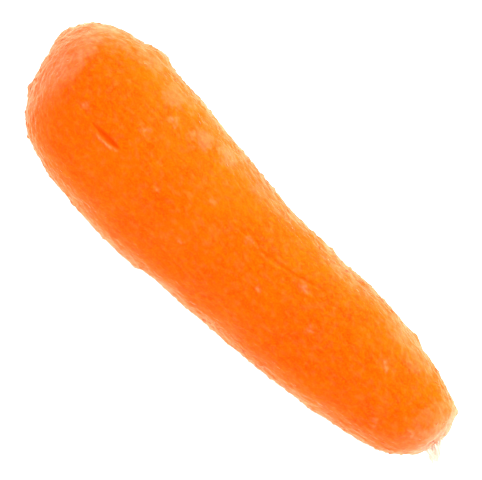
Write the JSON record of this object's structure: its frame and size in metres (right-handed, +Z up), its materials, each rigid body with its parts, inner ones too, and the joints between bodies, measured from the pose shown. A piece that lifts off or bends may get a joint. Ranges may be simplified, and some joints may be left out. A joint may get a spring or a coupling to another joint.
{
  "type": "carrot",
  "caption": "Peeled baby-cut carrot lying on its side: a slightly bent, tapering root with rounded ends, shallow hollows, a short deep split, a scratch and a frayed tip.",
  "frame": {"origin": "under the middle of the carrot's bounding box, on the surface that it lies on", "axes": "+X along the root from the blunt end to the narrow end, +Z up, +Y to the left when looking towards the narrow end"},
  "size_m": [0.0508, 0.0156, 0.0137],
  "materials": {
    "carrot_flesh": "moist peeled carrot flesh, finely abraded"
  },
  "bodies": {
    "root": {"carrot": "carrot_flesh"}
  },
  "joints": []
}
